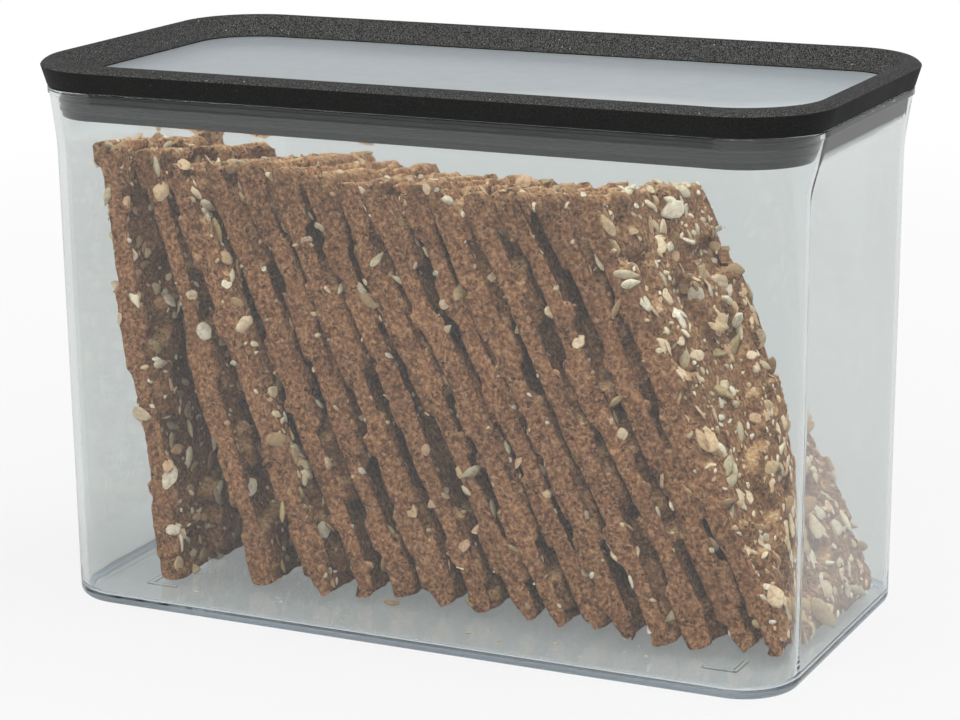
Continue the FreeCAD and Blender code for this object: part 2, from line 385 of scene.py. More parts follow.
# the outline of an L-shaped foot, drawn in by the given inset
def footOutline(tipX, tipY, signX, signY, inset):
    leg, width = boxShape["footLeg"] * mm, boxShape["footWidth"] * mm
    outline = []
    for along, across in ((inset, inset), (leg - inset, inset), (leg - inset, width - inset),
                          (width - inset, width - inset), (width - inset, leg - inset), (inset, leg - inset)):
        outline.append((tipX * mm - signX * along, tipY * mm - signY * across))
    return outline if signX * signY > 0 else outline[::-1]


# clear box
clearLook = {
    "tint": (0.875, 0.905, 0.90), "tintDeep": (0.85, 0.88, 0.875), "through": (0.93, 0.945, 0.95), "ior": 1.5,
    "polish": 0.0, "haze": 0.06, "wave": 26.0, "smudge": 95.0, "ripple": 0.05, "relief": 0.0004,
    "scatter": 0.0,
}
# the thick round at the base scatters light and looks blue-grey
edgeLook = dict(clearLook, tint=(0.50, 0.57, 0.64), tintDeep=(0.42, 0.49, 0.56), scatter=0.5)
clearPlastic = makeClearPlastic("clearPlastic", clearLook)
edgePlastic = makeClearPlastic("edgePlastic", edgeLook)


# triangles between the edge of the base, which is the first loop, and the feet, which are the others
def underside(points, loops):
    order = [index for loop in loops for index in loop]
    flat = [Vector(points[index]).xy / mm for index in order]
    place = {index: spot for spot, index in enumerate(order)}
    outlines = [[place[index] for index in loop] for loop in loops]
    insideOnly, nearness = 1, 1e-6
    filled = delaunay_2d_cdt(flat, [], outlines, insideOnly, nearness)
    triangles, fromCorners, fromOutlines = filled[2], filled[3], filled[5]
    return [tuple(order[fromCorners[corner][0]] for corner in triangle)
            for triangle, sources in zip(triangles, fromOutlines) if list(sources) == [0]]


def makeBox():
    s = boxShape
    lipOut = tuple(size + s["lipProud"] for size in outlineAt(s["lipBottom"]))
    levels = [s["collarStart"] + level for level in s["bendLevels"]]
    outside = softProfile([
        (s["baseRound"] + s["flatRun"], s["baseBottom"], 0),
        (0.0, s["baseBottom"], s["baseRound"]),
        (0.0, s["baseBottom"] + s["baseRound"] + s["wallRun"], 0),
    ], False)
    justBelow = 0.01
    outside += [(0.0, level) for level in levels] + [(0.0, s["lipBottom"] - justBelow)]
    inside = [(s["wall"], s["mouth"] - s["mouthEdge"])] + [(s["wall"], level) for level in reversed(levels)]
    inside += softProfile([
        (s["wall"], s["floorTop"] + s["floorRound"] + s["wallRun"], 0),
        (s["wall"], s["floorTop"], s["floorRound"]),
        (s["wall"] + s["floorRound"] + s["flatRun"], s["floorTop"], 0),
    ], False)
    lip = softProfile([
        (s["lipProud"], s["lipBottom"], 0),
        (0.0, s["lipBottom"], s["lipEdge"]),
        (0.0, s["mouth"], s["mouthEdge"]),
        (s["lipWidth"], s["mouth"], 0),
    ], False)
    rings = [ringAt(outlineAt(height), inset, height) for inset, height in outside]
    rings += [ringAt(lipOut, inset, height) for inset, height in lip]
    rings += [ringAt(outlineAt(height), inset, height) for inset, height in inside]
    count = len(rings[0])
    points = [point for ring in rings for point in ring]
    faces = bandFaces(len(rings), count, False)
    faces.append(tuple(range((len(rings) - 1) * count, len(rings) * count)))
    reachX = s["baseLength"] / 2 - s["footInset"]
    reachY = s["baseDepth"] / 2 - s["footInset"]
    loops = [list(range(count))]
    for signX in (-1, 1):
        for signY in (-1, 1):
            start = len(points)
            for height, inset in ((s["baseBottom"], 0.0), (s["footEdge"], 0.0), (0.0, s["footEdge"])):
                outline = footOutline(signX * reachX, signY * reachY, signX, signY, inset * mm)
                points += [(x, y, height * mm) for x, y in outline]
            for level in range(2):
                low = start + level * footCorners
                for step in range(footCorners):
                    here, after = low + step, low + (step + 1) % footCorners
                    faces.append((here, here + footCorners, after + footCorners, after))
            faces.append(tuple(range(start + 2 * footCorners, start + 3 * footCorners)))
            loops.append(list(range(start, start + footCorners)))
    faces += underside(points, loops)
    box = makeObject("clearBox", points, faces, [clearPlastic, edgePlastic])
    for face in box.data.polygons[count:(roundSteps + 1) * count]:
        face.material_index = 1
    faceOutward(box)
    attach(box, "box")
    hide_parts("box_body")


makeBox()
print("stage 2: clear box")


# lid: window, soft rim, plug ring and seal
lidShape = {
    "marginBottom": 129.6, "windowTop": 132.4, "windowInset": 4.55, "marginInset": 2.4,
    "marginEdge": 0.25, "windowEdge": 0.3, "plateRun": 5.0,
    "rimTop": 138.0, "rimFlare": 1.5, "crestInset": 3.1, "shoulder": 136.4, "rimWidth": 6.4, "rimFoot": 0.5,
    "rimFootTop": 132.75, "crestSteps": 12, "rimInEdge": 0.2, "rimOutEdge": 0.45, "shoulderEdge": 0.8,
    "crestEdge": 0.4, "slopeEdge": 0.25, "rimFootEdge": 0.12,
    "plugBottom": 124.0, "plugOut": 2.4, "plugIn": 4.4, "grooveIn": 3.3,
    "plugInEdge": 0.4, "plugOutEdge": 0.5, "grooveEdge": 0.12, "plugTopEdge": 0.1,
    "sealTop": 128.6, "sealBottom": 125.6, "sealBack": 3.2, "sealLip": 0.8, "sealOut": 2.05,
    "sealEdge": 0.1, "sealTip": 0.3,
}
rimLook = {
    "dark": (0.0095, 0.0095, 0.0095), "light": (0.016, 0.016, 0.0155), "broad": 45.0, "fine": 3400.0,
    # the pale flecks on upward faces are partly dust and partly painted light
    "dustAndLightFleck": 0.8, "dustAndLightFleckColour": (0.20, 0.20, 0.195), "dustScale": 900.0, "dustAmount": 0.08,
    "dustColour": (0.42, 0.41, 0.38), "sheen": 0.01, "smooth": 0.52, "rough": 0.68, "bump": 0.35,
    "relief": 0.00012, "shine": 0.06,
}
plugLook = {
    "dark": (0.019, 0.021, 0.0215), "light": (0.032, 0.035, 0.0355), "broad": 80.0, "fine": 1900.0,
    "dustAndLightFleck": 0.2, "dustAndLightFleckColour": (0.20, 0.20, 0.20), "dustScale": 700.0, "dustAmount": 0.03,
    "dustColour": (0.40, 0.40, 0.38), "sheen": 0.02, "smooth": 0.34, "rough": 0.46, "bump": 0.15,
    "relief": 0.00012, "shine": 0.45,
}
sealLook = {
    "dark": (0.036, 0.039, 0.040), "light": (0.056, 0.060, 0.061), "broad": 70.0, "fine": 2100.0,
    "dustAndLightFleck": 0.2, "dustAndLightFleckColour": (0.22, 0.22, 0.22), "dustScale": 700.0, "dustAmount": 0.03,
    "dustColour": (0.42, 0.42, 0.40), "sheen": 0.02, "smooth": 0.40, "rough": 0.55, "bump": 0.15,
    "relief": 0.00012, "shine": 0.4,
}
windowLook = {
    "pale": (0.60, 0.66, 0.70), "deep": (0.56, 0.62, 0.66), "satin": 0.33, "worn": 0.40, "clear": 0.70,
    # the paler colour and wavy line below are a painted sheen by the front of the window
    "paintedSheenColour": (0.74, 0.79, 0.82), "paintedSheenEdge": 9.0, "wobble": 3.0, "wobbleSize": 130.0,
    "paintedSheenTo": [(-2, -30), (8, -14), (26, -8), (45, -5), (69, -8), (84, 1), (92, 8)],
    "span": 200.0, "depth": 100.0, "broad": 35.0, "fine": 160.0, "shine": 0.3,
    "dustScale": 500.0, "dustAmount": 0.004, "dustColour": (0.80, 0.78, 0.72), "through": (0.80, 0.83, 0.84),
}
rimBlack = makeDarkPlastic("softRimBlack", rimLook)
plugCharcoal = makeDarkPlastic("plugCharcoal", plugLook)
sealCharcoal = makeDarkPlastic("sealCharcoal", sealLook)


# a painted paler sheen by the front of the window, standing in for light caught there, up to a wavy line
# given in millimetres
def paintedSheenZone(tree, look):
    place = addNode(tree, "ShaderNodeTexCoord").outputs["Object"]
    parts = addNode(tree, "ShaderNodeSeparateXYZ")
    tree.links.new(place, parts.inputs["Vector"])
    middle = 0.5
    scaled = mathNode(tree, "MULTIPLY", parts.outputs["X"], 1 / mm / look["span"])
    along = mathNode(tree, "ADD", scaled, middle)
    line = ramp(tree, along, [(middle + x / look["span"], grey(middle + y / look["depth"]))
                              for x, y in look["paintedSheenTo"]])
    noise = addNode(tree, "ShaderNodeTexNoise", {"Scale": look["wobbleSize"], "Detail": 2.0})
    tree.links.new(place, noise.inputs["Vector"])
    reach = mathNode(tree, "MULTIPLY", mathNode(tree, "SUBTRACT", line, middle), look["depth"])
    swing = mathNode(tree, "SUBTRACT", noise.outputs["Fac"], middle)
    sway = mathNode(tree, "MULTIPLY", swing, look["wobble"])
    depth = mathNode(tree, "MULTIPLY", parts.outputs["Y"], 1 / mm)
    inside = mathNode(tree, "SUBTRACT", mathNode(tree, "ADD", reach, sway), depth)
    return mathNode(tree, "DIVIDE", inside, look["paintedSheenEdge"], True)


# satin plastic of the window: hazy enough to blur what is below it
def makeSatinPlastic(name, look):
    material, tree = newMaterial(name)
    skin = useGroup(tree, skinGroup, Broad=look["broad"], Fine=look["fine"])
    dust = useGroup(tree, dustGroup, Scale=look["dustScale"], Amount=look["dustAmount"])
    shader = addNode(tree, "ShaderNodeBsdfPrincipled", {
        "IOR": 1.5, "Transmission Weight": look["clear"], "Metallic": 0.0,
        "Specular IOR Level": look["shine"]})
    base = mixColour(tree, skin.outputs["Mottle"], look["deep"], look["pale"])
    # painted sheen: the front of the window is made paler where light is caught
    base = mixColour(tree, paintedSheenZone(tree, look), base, look["paintedSheenColour"])
    base = mixColour(tree, dust.outputs["Mask"], base, look["dustColour"])
    tree.links.new(base, shader.inputs["Base Color"])
    rough = ramp(tree, skin.outputs["Grain"], [(0.3, grey(look["satin"])), (0.75, grey(look["worn"]))])
    tree.links.new(rough, shader.inputs["Roughness"])
    through = addNode(tree, "ShaderNodeBsdfTransparent", {"Color": (*look["through"], 1.0)})
    path = addNode(tree, "ShaderNodeLightPath")
    endWithEither(tree, path.outputs["Is Shadow Ray"], shader, through)
    return material


satinWindow = makeSatinPlastic("satinWindow", windowLook)


def lipOutline(height):
    return outlineAt(boxShape["lipBottom"])


def rimOutline(height):
    proud = boxShape["lipProud"] + lidShape["rimFlare"]
    return tuple(size + proud for size in outlineAt(boxShape["lipBottom"]))


# the window is satin on top, dark on its outer edge and clear below
def makeWindow():
    s = lidShape
    mouth = boxShape["mouth"]
    marginIn = outlineAt(s["marginBottom"])[0] - outlineAt(boxShape["lipBottom"])[0]
    margin = s["marginInset"] - marginIn
    profile = softProfile([
        (margin + s["plateRun"], s["marginBottom"], 0),
        (margin, s["marginBottom"], s["marginEdge"]),
        (margin, mouth, s["marginEdge"]),
        (s["windowInset"], mouth, 0),
        (s["windowInset"], s["windowTop"], s["windowEdge"]),
        (s["windowInset"] + s["plateRun"], s["windowTop"], 0),
    ], False)
    points, faces = shellOf(profile, False, lipOutline)
    window = makeObject("lidWindow", points, faces, [satinWindow, clearPlastic, plugCharcoal])
    slack, edgeDepth = 0.1, 0.3
    onTop = [inset > s["windowInset"] - slack and height > mouth + slack for inset, height in profile]
    onEdge = [inset < margin + edgeDepth for inset, height in profile]
    around = (len(faces) - 2) // (len(profile) - 1)
    satin, clear, dark = 0, 1, 2
    for level, isTop in enumerate(onTop[1:]):
        isEdge = onEdge[level] and onEdge[level + 1]
        for polygon in window.data.polygons[level * around:(level + 1) * around]:
            polygon.material_index = satin if isTop else dark if isEdge else clear
    window.data.polygons[len(faces) - 2].material_index = clear
    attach(window, "lid")
    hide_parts("lid_window")


def makeRim():
    s = lidShape
    mouth = boxShape["mouth"]
    drop = s["rimTop"] - s["shoulder"]
    crestRound = (s["crestInset"] ** 2 + drop ** 2) / (2 * drop)
    whole = math.asin(s["crestInset"] / crestRound)
    crest = []
    for step in range(s["crestSteps"] + 1):
        angle = whole * (1 - step / s["crestSteps"])
        crest.append((s["crestInset"] - crestRound * math.sin(angle),
                      s["rimTop"] - crestRound * (1 - math.cos(angle)), 0))
    crest[0] = (crest[0][0], crest[0][1], s["shoulderEdge"])
    profile = softProfile([
        (s["rimWidth"], mouth, s["rimInEdge"]),
        (s["rimFlare"], mouth, s["rimOutEdge"]),
        *crest,
        (s["crestInset"] + s["rimFoot"], s["rimTop"] - s["rimFoot"] / 2, s["crestEdge"]),
        (s["rimWidth"] - s["rimFoot"], s["rimFootTop"], s["slopeEdge"]),
        (s["rimWidth"], s["rimFootTop"], s["rimFootEdge"]),
    ], True)
    rim = makeObject("lidRim", *shellOf(profile, True, rimOutline), [rimBlack])
    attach(rim, "lid")
    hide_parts("lid_rim")


def makePlugAndSeal():
    s = lidShape
    plug = softProfile([
        (s["plugIn"], s["plugBottom"], s["plugInEdge"]),
        (s["plugOut"], s["plugBottom"], s["plugOutEdge"]),
        (s["plugOut"], s["sealBottom"], s["grooveEdge"]),
        (s["grooveIn"], s["sealBottom"], 0),
        (s["grooveIn"], s["sealTop"], 0),
        (s["plugOut"], s["sealTop"], s["grooveEdge"]),
        (s["plugOut"], s["marginBottom"], s["plugTopEdge"]),
        (s["plugIn"], s["marginBottom"], s["plugTopEdge"]),
    ], True)
    ring = makeObject("plugRing", *shellOf(plug, True, outlineAt), [plugCharcoal])
    lip, edge, tip = s["sealLip"], s["sealEdge"], s["sealTip"]
    waist = s["plugOut"]
    seal = softProfile([
        (s["sealBack"], s["sealBottom"], edge),
        (s["sealOut"], s["sealBottom"], tip),
        (s["sealOut"], s["sealBottom"] + lip, tip),
        (waist, s["sealBottom"] + lip + edge, edge),
        (waist, s["sealTop"] - lip - edge, edge),
        (s["sealOut"], s["sealTop"] - lip, tip),
        (s["sealOut"], s["sealTop"], tip),
        (s["sealBack"], s["sealTop"], edge),
    ], True)
    soft = makeObject("lipSeal", *shellOf(seal, True, outlineAt), [sealCharcoal])
    for piece, node, slot in ((ring, "lid_plug_ring", "plug_charcoal"), (soft, "lid_seal", "seal_charcoal")):
        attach(piece, "lid")
        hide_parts(node)


makeWindow()
makeRim()
makePlugAndSeal()
print("stage 3: lid")


# crispbread
sliceLook = {
    "crumbDark": (0.12, 0.045, 0.018), "crumbMid": (0.35, 0.158, 0.073), "crumbLight": (0.66, 0.37, 0.20),
    "crustDark": (0.12, 0.046, 0.020), "crustMid": (0.30, 0.145, 0.066), "crustLight": (0.58, 0.34, 0.18),
    # the top colours are lighter for faces that look up: painted light from above
    "topDark": (0.34, 0.17, 0.072), "topMid": (0.60, 0.36, 0.175), "topLight": (0.82, 0.58, 0.34),
    # the pore colour is painted shade in holes too small for the mesh
    "poreShadeColour": (0.030, 0.012, 0.006), "poreShadeShare": 0.75, "clump": 900.0, "pore": 1150.0,
    "patchSize": 75.0, "patchDark": (0.80, 0.77, 0.75), "patchLight": (1.12, 1.10, 1.06),
    "rough": 0.92, "smooth": 0.72, "bump": 1.0, "relief": 0.0005, "shine": 0.25,
}
grainLook = {
    "clump": 900.0, "pore": 1500.0, "shade": (0.55, 0.50, 0.44), "rough": 0.70, "smooth": 0.48,
    "bump": 0.35, "relief": 0.0003, "shine": 0.35, "sharpAngle": 80.0,
}
sliceShape = {
    "step": 0.8, "edgeRows": 14, "sideEdge": 0.8, "endEdge": 2.6, "sidePower": 3.2, "endPower": 2.0,
    "probe": 6.0, "clearOf": 10.0, "halfThick": 3.4,
    "bulgeSize": 7.5, "bulgeTall": 1.35, "knobSize": 3.4, "knobShare": 0.35,
    "hollowFrom": -0.13, "hollowTo": 0.1, "hollow": 3.5, "mostProud": 0.55,
    "broadFrom": 0.55, "broadTo": 0.9, "bentFrom": 0.05, "bentTo": 0.5, "bentShare": 0.9,
    "crumbSize": 2.6, "crumbDepth": 0.26, "fineSize": 1.25, "fineDepth": 0.15,
    "cutSize": 4.5, "cutDepth": 0.35, "cutPore": 1.9, "cutPoreDepth": 0.5, "cutPoreFrom": 0.25,
    "paintedLightFrom": 0.25, "paintedLightTo": 0.8, "seed": 41,
}


def makeCrumbMaterial():
    look = sliceLook
    material, tree = newMaterial("crispbreadCrumb")
    baked = useGroup(tree, bakedGroup, Clump=look["clump"], Pore=look["pore"])
    crust = addNode(tree, "ShaderNodeAttribute", attribute_name="crust").outputs["Fac"]
    paintedTopLight = addNode(tree, "ShaderNodeAttribute", attribute_name="paintedTopLight").outputs["Fac"]
    stops = {"Dark": 0.34, "Mid": 0.50, "Light": 0.66}
    crumb, skin, top = [
        ramp(tree, baked.outputs["Clumps"], [(stop, look[part + tone]) for tone, stop in stops.items()])
        for part in ("crumb", "crust", "top")]
    # faces that look up take the lighter top colours: painted light from above
    colour = mixColour(tree, paintedTopLight, mixColour(tree, crust, crumb, skin), top)
    broad = addNode(tree, "ShaderNodeTexNoise", {"Scale": look["patchSize"], "Detail": 3.0})
    tree.links.new(addNode(tree, "ShaderNodeTexCoord").outputs["Object"], broad.inputs["Vector"])
    shade = ramp(tree, broad.outputs["Fac"], [(0.3, look["patchDark"]), (0.7, look["patchLight"])])
    colour = mixColour(tree, 1.0, colour, shade, "MULTIPLY")
    # pores are coloured nearly black: painted shade in holes too small for the mesh
    pores = mathNode(tree, "MULTIPLY", baked.outputs["Pores"], look["poreShadeShare"])
    colour = mixColour(tree, pores, colour, look["poreShadeColour"])
    shader = addNode(tree, "ShaderNodeBsdfPrincipled", {
        "IOR": 1.4, "Metallic": 0.0, "Specular IOR Level": look["shine"]})
    tree.links.new(colour, shader.inputs["Base Color"])
    rough = ramp(tree, baked.outputs["Clumps"], [(0.3, grey(look["rough"])), (0.7, grey(look["smooth"]))])
    tree.links.new(rough, shader.inputs["Roughness"])
    addBump(tree, shader, baked.outputs["Height"], look["bump"], look["relief"])
    endWith(tree, shader)
    return material


def makeGrainMaterial():
    look = grainLook
    material, tree = newMaterial("seedsAndFlakes")
    baked = useGroup(tree, bakedGroup, Clump=look["clump"], Pore=look["pore"])
    tint = addNode(tree, "ShaderNodeAttribute", attribute_name="grainTint").outputs["Color"]
    shade = ramp(tree, baked.outputs["Clumps"], [(0.28, look["shade"]), (0.55, grey(1.0))])
    colour = mixColour(tree, 1.0, tint, shade, "MULTIPLY")
    shader = addNode(tree, "ShaderNodeBsdfPrincipled", {
        "IOR": 1.45, "Metallic": 0.0, "Specular IOR Level": look["shine"]})
    tree.links.new(colour, shader.inputs["Base Color"])
    rough = ramp(tree, baked.outputs["Clumps"], [(0.3, grey(look["rough"])), (0.7, grey(look["smooth"]))])
    tree.links.new(rough, shader.inputs["Roughness"])
    addBump(tree, shader, baked.outputs["Clumps"], look["bump"], look["relief"])
    endWith(tree, shader)
    return material


crumbMaterial = makeCrumbMaterial()
grainMaterial = makeGrainMaterial()


latticeHash = {"steps": (73856093, 19349663, 83492791), "seed": 9176423, "mix": 1274126177, "shift": 7.31}


# smooth noise from -1 to 1 on a lattice of the given size, in millimetres
def latticeNoise(points, size, seed):
    at = points / (size * mm) + seed * latticeHash["shift"]
    cell = np.floor(at).astype(np.int64)
    part = at - cell
    part = part * part * (3 - 2 * part)
    total = np.zeros(len(points))
    for corner in range(8):
        offset = np.array((corner & 1, corner >> 1 & 1, corner >> 2))
        key = ((cell + offset) * np.array(latticeHash["steps"])).sum(1) + seed * latticeHash["seed"]
        key = (key ^ (key >> 13)) * latticeHash["mix"]
        key = key ^ (key >> 16)
        value = (key & 0xFFFF) / 32767.5 - 1
        weight = np.where(offset, part, 1 - part).prod(1)
        total += value * weight
    return total


def smoothStep(low, high, values):
    share = np.clip((values - low) / (high - low), 0, 1)
    return share * share * (3 - 2 * share)


# the axes of a slice, from the faces of its node
def sliceAxes(node):
    normals = np.array([polygon.normal for polygon in node.data.polygons])
    areas = np.array([polygon.area for polygon in node.data.polygons])
    thin = np.linalg.eigh((normals * areas[:, None]).T @ normals)[1][:, -1]
    thin = thin if thin[0] > 0 else -thin
    across = np.cross((0.0, 0.0, 1.0), thin)
    across /= np.linalg.norm(across)
    return thin, across, np.cross(thin, across)


# a dense slab over the node's own faces: two grids and a band of rows round the edge
def sliceSlab(node):
    s = sliceShape
    thin, across, up = sliceAxes(node)
    corners = np.array([vertex.co for vertex in node.data.vertices])
    axes = np.stack((thin, across, up))
    local = corners @ axes.T
    low, high = local.min(0), local.max(0)
    tree = BVHTree.FromPolygons([tuple(point) for point in local],
                                [tuple(polygon.vertices) for polygon in node.data.polygons])
    middle = (low[0] + high[0]) / 2
    probe, clearOf = s["probe"] * mm, s["clearOf"] * mm
    tops = []
    for place in (low[1] + probe, high[1] - probe):
        hit = tree.ray_cast(Vector((middle, place, high[2] + 2 * clearOf)), Vector((0, 0, -1)))[0]
        tops.append(hit.z if hit else high[2])
    slope = (tops[1] - tops[0]) / (high[1] - low[1] - 2 * probe)
    side, end = s["sideEdge"] * mm, s["endEdge"] * mm
    countA = int((high[1] - low[1]) / (s["step"] * mm))
    countU = int((high[2] - low[2]) / (s["step"] * mm))
    placesA = np.linspace(low[1] + side, high[1] - side, countA)
    grids = []
    for direction in (1, -1):
        grid = np.zeros((countU, countA, 3))
        for column, a in enumerate(placesA):
            top = tops[0] + slope * (a - low[1] - probe) - end
            for row, u in enumerate(np.linspace(low[2] + end, top, countU)):
                start = Vector((low[0] - clearOf if direction > 0 else high[0] + clearOf, a, u))
                hit = tree.ray_cast(start, Vector((direction, 0, 0)))[0]
                grid[row, column] = (hit.x if hit else middle - direction * s["halfThick"] * mm, a, u)
        grids.append(grid)
    loop = [(0, column) for column in range(countA)]
    loop += [(row, countA - 1) for row in range(1, countU)]
    loop += [(countU - 1, column) for column in range(countA - 2, -1, -1)]
    loop += [(row, 0) for row in range(countU - 2, 0, -1)]
    size = countA * countU
    points = [grids[0].reshape(-1, 3), grids[1].reshape(-1, 3)]
    rows = s["edgeRows"]
    lefts = np.array([grids[0][spot] for spot in loop])
    rights = np.array([grids[1][spot] for spot in loop])
    outs = np.array([((column == countA - 1) - (column == 0), (row == countU - 1) - (row == 0))
                     for row, column in loop], float)
    for row in range(1, rows):
        share = row / rows
        lean = abs(2 * share - 1)
        bulge = np.zeros_like(lefts)
        bulge[:, 1] = outs[:, 0] * side * (1 - lean ** s["sidePower"]) ** (1 / s["sidePower"])
        bulge[:, 2] = outs[:, 1] * end * (1 - lean ** s["endPower"]) ** (1 / s["endPower"])
        points.append(lefts * (1 - share) + rights * share + bulge)
    points = np.concatenate(points)
    faces = []
    for row in range(countU - 1):
        for column in range(countA - 1):
            a, b = row * countA + column, (row + 1) * countA + column
            faces.append((a, b, b + 1, a + 1))
            faces.append((size + a, size + a + 1, size + b + 1, size + b))
    around = len(loop)
    bands = [[row * countA + column for row, column in loop]]
    bands += [list(range(2 * size + row * around, 2 * size + (row + 1) * around)) for row in range(rows - 1)]
    bands += [[size + row * countA + column for row, column in loop]]
    for first, second in zip(bands, bands[1:]):
        for step in range(around):
            after = (step + 1) % around
            faces.append((first[step], first[after], second[after], second[step]))
    return points @ axes, faces, axes


def meshNormals(points, faces):
    corners = points[np.array(faces)]
    flat = np.cross(corners[:, 2] - corners[:, 0], corners[:, 3] - corners[:, 1])
    normals = np.zeros_like(points)
    for corner in range(4):
        np.add.at(normals, np.array(faces)[:, corner], flat)
    return normals / np.maximum(np.linalg.norm(normals, axis=1), 1e-12)[:, None]


# bulges over a broad face, with hollows left between them
def bulges(local, seed):
    s = sliceShape
    drawn = local / (1.0, 1.0, s["bulgeTall"])
    knobs = latticeNoise(drawn, s["knobSize"], seed + 3)
    field = latticeNoise(drawn, s["bulgeSize"], seed) + s["knobShare"] * knobs
    return s["mostProud"] - s["hollow"] * (1 - smoothStep(s["hollowFrom"], s["hollowTo"], field))


# lumps and hollows on the broad faces, torn crumb along the cut edges
def roughen(points, faces, axes, number):
    s = sliceShape
    normals = meshNormals(points, faces)
    seed = s["seed"] + number * 13
    facing = normals @ axes[0]
    broad = smoothStep(s["broadFrom"], s["broadTo"], np.abs(facing))
    push = np.zeros(len(points))
    for direction in (-1, 1):
        chosen = facing * direction > 0
        push[chosen] = bulges(points @ axes.T, seed + direction)[chosen]
    bent = smoothStep(s["bentFrom"], s["bentTo"], np.abs(facing))
    push *= np.maximum(broad, bent * s["bentShare"])
    crumb = s["crumbDepth"] * latticeNoise(points, s["crumbSize"], seed + 5)
    fine = s["fineDepth"] * latticeNoise(points, s["fineSize"], seed + 6)
    torn = s["cutDepth"] * latticeNoise(points, s["cutSize"], seed + 7)
    pits = latticeNoise(points, s["cutPore"], seed + 8) - s["cutPoreFrom"]
    hole = s["cutPoreDepth"] * np.maximum(pits, 0)
    push += crumb + fine + (1 - broad) * (torn - hole)
    return points + normals * (push * mm)[:, None], broad


# seeds, flakes and crumbs that sit in the slices, sizes in millimetres
grainKinds = {
    "sunflower": {"size": (6.4, 3.0, 1.7), "taper": 0.55, "crumple": 0.05, "tints": [
        (0.78, 0.64, 0.42), (0.64, 0.52, 0.34), (0.85, 0.74, 0.53)]},
    "pumpkin": {"size": (7.4, 3.9, 1.6), "taper": 0.35, "crumple": 0.06, "tints": [
        (0.52, 0.38, 0.19), (0.62, 0.44, 0.23), (0.48, 0.31, 0.16)]},
    "sesame": {"size": (2.9, 1.9, 0.9), "taper": 0.4, "crumple": 0.05, "tints": [
        (0.86, 0.72, 0.49), (0.80, 0.62, 0.38), (0.92, 0.83, 0.66)]},
    "flake": {"size": (5.2, 3.9, 0.9), "taper": 0.1, "crumple": 0.55, "tints": [
        (0.76, 0.53, 0.31), (0.84, 0.64, 0.42), (0.66, 0.42, 0.25), (0.90, 0.78, 0.60)]},
    "linseed": {"size": (3.9, 2.0, 1.0), "taper": 0.45, "crumple": 0.03, "tints": [
        (0.22, 0.10, 0.045), (0.30, 0.15, 0.07)]},
    "bit": {"size": (2.0, 1.1, 0.7), "taper": 0.0, "crumple": 0.6, "tints": [
        (0.82, 0.64, 0.41), (0.70, 0.46, 0.28), (0.92, 0.82, 0.64)]},
}
grainMix = {"sesame": 0.16, "flake": 0.20, "bit": 0.46, "sunflower": 0.08, "pumpkin": 0.05, "linseed": 0.05}
grainShape = {
    "segments": 12, "rings": 6, "forms": 6, "taperFrom": -0.2, "thinning": 0.5,
    "crumpleSpan": 2.0, "crumpleSize": 1.5, "crumpleBy": (0.5, 0.6, 1.3),
    "sizes": (0.8, 1.2), "shades": (0.85, 1.12),
}


# a closed grain of about unit size: a ball drawn out, tapered and crumpled
def grainForm(kind, seed):
    look, s = grainKinds[kind], grainShape
    segments, rings = s["segments"], s["rings"]
    points = [(0, 0, -1)]
    for ring in range(1, rings):
        tilt = math.pi * ring / rings
        for segment in range(segments):
            turn = 2 * math.pi * segment / segments
            points.append((math.sin(tilt) * math.cos(turn), math.sin(tilt) * math.sin(turn), -math.cos(tilt)))
    points.append((0, 0, 1))
    points = np.array(points)
    faces = []
    for segment in range(segments):
        after = (segment + 1) % segments
        faces.append((0, 1 + after, 1 + segment))
        for ring in range(rings - 2):
            a, b = 1 + ring * segments, 1 + (ring + 1) * segments
            faces.append((a + segment, a + after, b + after, b + segment))
        tip = 1 + (rings - 2) * segments
        faces.append((tip + segment, tip + after, len(points) - 1))
    points[:, 1] *= 1 - look["taper"] * smoothStep(s["taperFrom"], 1.0, points[:, 0])
    points[:, 2] *= 1 - s["thinning"] * look["taper"] * smoothStep(0.0, 1.0, np.abs(points[:, 0]))
    shaken = points * mm * s["crumpleSpan"]
    for axis, strength in enumerate(s["crumpleBy"]):
        noise = latticeNoise(shaken, s["crumpleSize"], seed + axis)
        points[:, axis] += look["crumple"] * strength * noise
    return points / 2, faces


grainForms = {kind: [grainForm(kind, 100 + 7 * index + 31 * order) for index in range(grainShape["forms"])]
              for order, kind in enumerate(grainKinds)}


# gathers the grains of one piece
class Grains:
    def __init__(self):
        self.points, self.faces, self.tints, self.count = [], [], [], 0

    def put(self, rng, kind, place, normal, scale, sink, along=None, lean=0.3):
        form, faces = grainForms[kind][rng.integers(grainShape["forms"])]
        look = grainKinds[kind]
        facing = normal + lean * rng.normal(size=3)
        facing /= np.linalg.norm(facing)
        first = np.cross(facing, rng.normal(size=3) if along is None else along)
        first /= np.linalg.norm(first)
        axes = np.stack((first, np.cross(facing, first), facing))
        size = np.array(look["size"]) * scale * rng.uniform(*grainShape["sizes"], 3) * mm
        here = place + normal * (0.5 - sink) * size[2]
        tint = np.array(look["tints"][rng.integers(len(look["tints"]))]) * rng.uniform(*grainShape["shades"])
        self.points.append(form * size @ axes + here)
        self.faces += [tuple(self.count + index for index in face) for face in faces]
        self.tints += [(*tint, 1.0)] * len(form)
        self.count += len(form)


# picks spots on a slice that keep their distance from each other
def pickSpots(rng, points, chosen, count, apart):
    order = rng.permutation(np.flatnonzero(chosen))
    kept = []
    places = np.zeros((0, 3))
    for index in order:
        if len(kept) >= count:
            break
        if len(kept) and np.min(np.linalg.norm(places - points[index], axis=1)) < apart * mm:
            continue
        kept.append(index)
        places = points[kept]
    return kept


